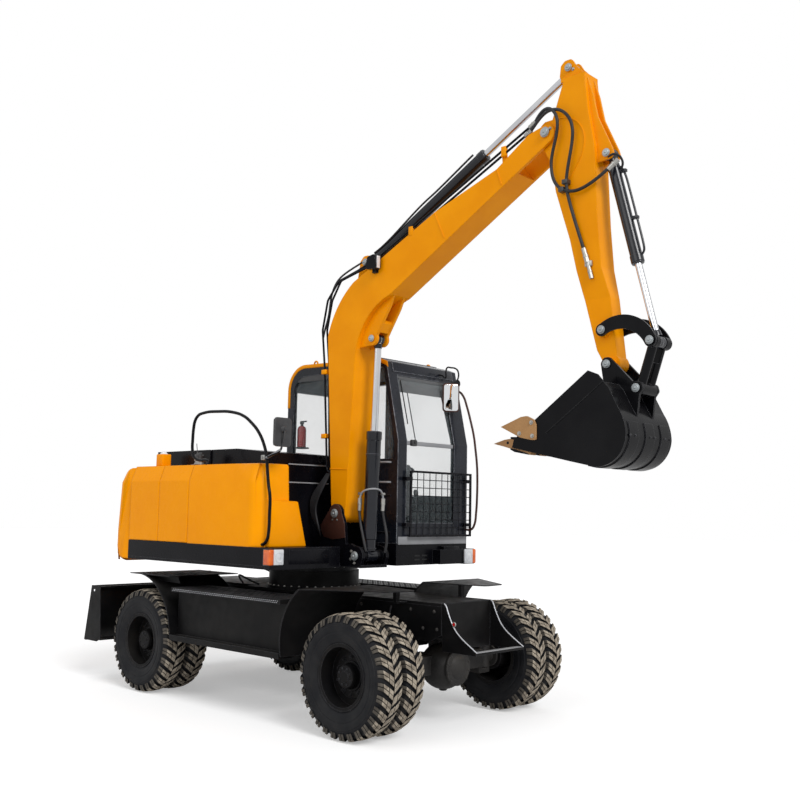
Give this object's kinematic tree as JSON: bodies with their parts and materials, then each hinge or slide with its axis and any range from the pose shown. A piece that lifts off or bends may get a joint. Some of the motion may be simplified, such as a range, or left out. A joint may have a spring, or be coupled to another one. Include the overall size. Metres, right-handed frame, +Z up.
{
  "type": "wheeled excavator",
  "caption": "Wheeled excavator on twin tyres with a cranked one-piece boom, dipper arm and bucket, a cab on the left, side hood on the right and a rear dozer blade.",
  "frame": {"origin": "middle of the bounding box at ground level, under the machine", "axes": "+X forward along the machine, +Y to its left, +Z up"},
  "size_m": [5.992, 2.324, 5.2989],
  "materials": {
    "black_paint": "satin",
    "bucket_gloss": "gloss",
    "cab_glass": "clear",
    "cab_paint": "satin",
    "chrome": "polished",
    "engine_iron": "matt",
    "hose_black": "matt",
    "lamp_lens": "gloss",
    "orange_paint": "gloss",
    "seat_cloth": "matt",
    "tooth_steel": "satin",
    "tyre_rubber": "matt"
  },
  "bodies": {
    "chassis": {"chassis_rails": "black_paint", "cross_members": "black_paint", "chassis_deck": "black_paint", "slewing_ring": "black_paint", "side_steps": "black_paint", "mudguards": "black_paint", "front_ladder": "black_paint", "front_axle": "black_paint", "rear_axle": "black_paint", "drive_shaft": "black_paint"},
    "knuckle_left": {"knuckle_left": "black_paint"},
    "knuckle_right": {"knuckle_right": "black_paint"},
    "tie_rod": {"tie_rod": "black_paint"},
    "blade": {"blade": "black_paint"},
    "blade_link_lower": {"blade_link_lower": "black_paint"},
    "blade_link_upper": {"blade_link_upper": "black_paint"},
    "blade_cylinder": {"blade_cylinder": "black_paint"},
    "blade_rod": {"blade_rod": "chrome"},
    "boom": {"boom": "orange_paint", "boom_pipes": "hose_black"},
    "lift_barrel": {"lift_barrel": "black_paint"},
    "lift_rod": {"lift_rod": "chrome"},
    "arm": {"arm": "orange_paint"},
    "crowd_barrel": {"crowd_barrel": "black_paint"},
    "crowd_rod": {"crowd_rod": "chrome"},
    "bucket": {"bucket": "bucket_gloss", "bucket_teeth": "tooth_steel"},
    "rocker": {"rocker": "bucket_gloss"},
    "link": {"link": "bucket_gloss"},
    "curl_barrel": {"curl_barrel": "black_paint"},
    "curl_rod": {"curl_rod": "chrome"},
    "side_door_rear": {"side_door_rear": "orange_paint"},
    "side_door_front": {"side_door_front": "orange_paint"},
    "hood_left": {"hood_left": "orange_paint"},
    "engine_hood": {"engine_hood": "black_paint"},
    "cab_door": {"cab_door": "cab_paint", "door_glass": "cab_glass"},
    "wheel_front_left": {"tyres_front_left": "tyre_rubber", "rim_front_left": "black_paint"},
    "wheel_front_right": {"tyres_front_right": "tyre_rubber", "rim_front_right": "black_paint"},
    "wheel_rear_left": {"tyres_rear_left": "tyre_rubber", "rim_rear_left": "black_paint"},
    "wheel_rear_right": {"tyres_rear_right": "tyre_rubber", "rim_rear_right": "black_paint"},
    "upper": {"cab_base": "black_paint", "cab_glass": "cab_glass", "cab_rails": "black_paint", "cab_shell": "cab_paint", "counterweight": "orange_paint", "engine": "engine_iron", "hand_rail": "black_paint", "lamps": "lamp_lens", "lifting_eyes": "orange_paint", "screen_guard": "black_paint", "seat": "seat_cloth", "skirts": "black_paint", "tank_box": "black_paint", "tank_cover": "orange_paint", "upper_frame": "black_paint"}
  },
  "joints": [
    {"name": "slew", "type": "hinge", "parent": "chassis", "child": "upper", "pos_m": [-0.8, 0, 1.18], "axis": [0, 0, 1], "continuous": true},
    {"name": "steer_left", "type": "hinge", "parent": "chassis", "child": "knuckle_left", "pos_m": [0.8, 0.6, 0.48], "axis": [0, 0, 1], "range_deg": [-30, 30]},
    {"name": "steer_right", "type": "hinge", "parent": "chassis", "child": "knuckle_right", "pos_m": [0.8, -0.6, 0.48], "axis": [0, 0, 1], "range_deg": [-30, 30]},
    {"name": "tie_rod_pivot", "type": "hinge", "parent": "knuckle_left", "child": "tie_rod", "pos_m": [0.59, 0.6, 0.374], "axis": [0, 0, 1], "range_deg": [-30, 30]},
    {"name": "spin_front_left", "type": "hinge", "parent": "knuckle_left", "child": "wheel_front_left", "pos_m": [0.8, 0.9215, 0.48], "axis": [0, 1, 0], "continuous": true},
    {"name": "spin_front_right", "type": "hinge", "parent": "knuckle_right", "child": "wheel_front_right", "pos_m": [0.8, -0.9215, 0.48], "axis": [0, 1, 0], "continuous": true},
    {"name": "spin_rear_left", "type": "hinge", "parent": "chassis", "child": "wheel_rear_left", "pos_m": [-1.98, 0.9215, 0.48], "axis": [0, 1, 0], "continuous": true},
    {"name": "spin_rear_right", "type": "hinge", "parent": "chassis", "child": "wheel_rear_right", "pos_m": [-1.98, -0.9215, 0.48], "axis": [0, 1, 0], "continuous": true},
    {"name": "blade_lift", "type": "hinge", "parent": "chassis", "child": "blade_link_lower", "pos_m": [-2.36, 0, 0.44], "axis": [0, -1, 0], "range_deg": [0, 64]},
    {"name": "blade_upper_pivot", "type": "hinge", "parent": "chassis", "child": "blade_link_upper", "pos_m": [-2.36, 0, 0.64], "axis": [0, -1, 0], "range_deg": [0, 64]},
    {"name": "blade_level", "type": "hinge", "parent": "blade_link_lower", "child": "blade", "pos_m": [-2.74971, 0, 0.665], "axis": [0, -1, 0], "range_deg": [-64, 0]},
    {"name": "blade_cylinder_swing", "type": "hinge", "parent": "chassis", "child": "blade_cylinder", "pos_m": [-2.48, 0, 0.925], "axis": [0, -1, 0], "range_deg": [-0.01, 9.77]},
    {"name": "blade_cylinder_stroke", "type": "slide", "parent": "blade_cylinder", "child": "blade_rod", "axis": [-0.3851, 0, -0.9229], "range_m": [-0.001, 0.3128]},
    {"name": "boom_lift", "type": "hinge", "parent": "upper", "child": "boom", "pos_m": [-0.217, -0.12, 1.715], "axis": [0, -1, 0], "range_deg": [-58, 8]},
    {"name": "lift_swing", "type": "hinge", "parent": "upper", "child": "lift_barrel", "pos_m": [0.056, -0.12, 1.344], "axis": [0, -1, 0], "range_deg": [-50.65, 7]},
    {"name": "lift_stroke", "type": "slide", "parent": "lift_barrel", "child": "lift_rod", "axis": [0.0337, 0, 0.9994], "range_m": [-0.3881, 0.0544]},
    {"name": "arm_crowd", "type": "hinge", "parent": "boom", "child": "arm", "pos_m": [2.055, -0.12, 4.729], "axis": [0, 1, 0], "range_deg": [-65, 25]},
    {"name": "crowd_swing", "type": "hinge", "parent": "boom", "child": "crowd_barrel", "pos_m": [0.019, -0.12, 4.024], "axis": [0, -1, 0], "range_deg": [-2.68, 6.94]},
    {"name": "crowd_stroke", "type": "slide", "parent": "crowd_barrel", "child": "crowd_rod", "axis": [0.8777, 0, 0.4793], "range_m": [-0.4918, 0.1898]},
    {"name": "bucket_curl", "type": "hinge", "parent": "arm", "child": "bucket", "pos_m": [2.592, -0.12, 2.84], "axis": [0, 1, 0], "range_deg": [-100, 25]},
    {"name": "rocker_pivot", "type": "hinge", "parent": "arm", "child": "rocker", "pos_m": [2.544, -0.12, 3.1], "axis": [0, 1, 0], "range_deg": [-77.05, 19.27]},
    {"name": "link_pivot", "type": "hinge", "parent": "rocker", "child": "link", "pos_m": [2.942, -0.12, 2.982], "axis": [0, 1, 0], "range_deg": [-13.71, 54.79]},
    {"name": "curl_swing", "type": "hinge", "parent": "arm", "child": "curl_barrel", "pos_m": [2.562, -0.12, 4.462], "axis": [0, -1, 0], "range_deg": [-0.24, 0.94]},
    {"name": "curl_stroke", "type": "slide", "parent": "curl_barrel", "child": "curl_rod", "axis": [0.2487, 0, -0.9686], "range_m": [-0.5025, 0.1264]},
    {"name": "side_door_rear_hinge", "type": "hinge", "parent": "upper", "child": "side_door_rear", "pos_m": [-1.767, -1.136, 1.44], "axis": [0, 0, 1], "range_deg": [0, 80]},
    {"name": "side_door_front_hinge", "type": "hinge", "parent": "upper", "child": "side_door_front", "pos_m": [-1.287, -1.136, 1.44], "axis": [0, 0, 1], "range_deg": [0, 80]},
    {"name": "hood_left_hinge", "type": "hinge", "parent": "upper", "child": "hood_left", "pos_m": [-1.459, 1.136, 1.44], "axis": [0, 0, 1], "range_deg": [-80, 0]},
    {"name": "engine_hood_hinge", "type": "hinge", "parent": "upper", "child": "engine_hood", "pos_m": [-1.46, 0, 2.286], "axis": [0, 1, 0], "range_deg": [0, 55]},
    {"name": "cab_door_hinge", "type": "hinge", "parent": "upper", "child": "cab_door", "pos_m": [-0.879, 1.136, 1.5], "axis": [0, 0, 1], "range_deg": [0, 85]}
  ],
  "couplings": [
    {"joint": "steer_right", "follows": "steer_left", "ratio": 1},
    {"joint": "tie_rod_pivot", "follows": "steer_left", "ratio": -1},
    {"joint": "blade_upper_pivot", "follows": "blade_lift", "ratio": 1},
    {"joint": "blade_level", "follows": "blade_lift", "ratio": -1},
    {"joint": "blade_cylinder_swing", "follows": "blade_lift", "ratio": 0.15251},
    {"joint": "blade_cylinder_stroke", "follows": "blade_lift", "m_per_rad": 0.2791},
    {"joint": "lift_swing", "follows": "boom_lift", "ratio": 0.87313},
    {"joint": "lift_stroke", "follows": "boom_lift", "m_per_rad": 0.38235},
    {"joint": "crowd_swing", "follows": "arm_crowd", "ratio": -0.10666},
    {"joint": "crowd_stroke", "follows": "arm_crowd", "m_per_rad": 0.43261},
    {"joint": "rocker_pivot", "follows": "bucket_curl", "ratio": 0.77039},
    {"joint": "link_pivot", "follows": "bucket_curl", "ratio": -0.54784},
    {"joint": "curl_swing", "follows": "bucket_curl", "ratio": -0.00934},
    {"joint": "curl_stroke", "follows": "bucket_curl", "m_per_rad": 0.28732}
  ]
}
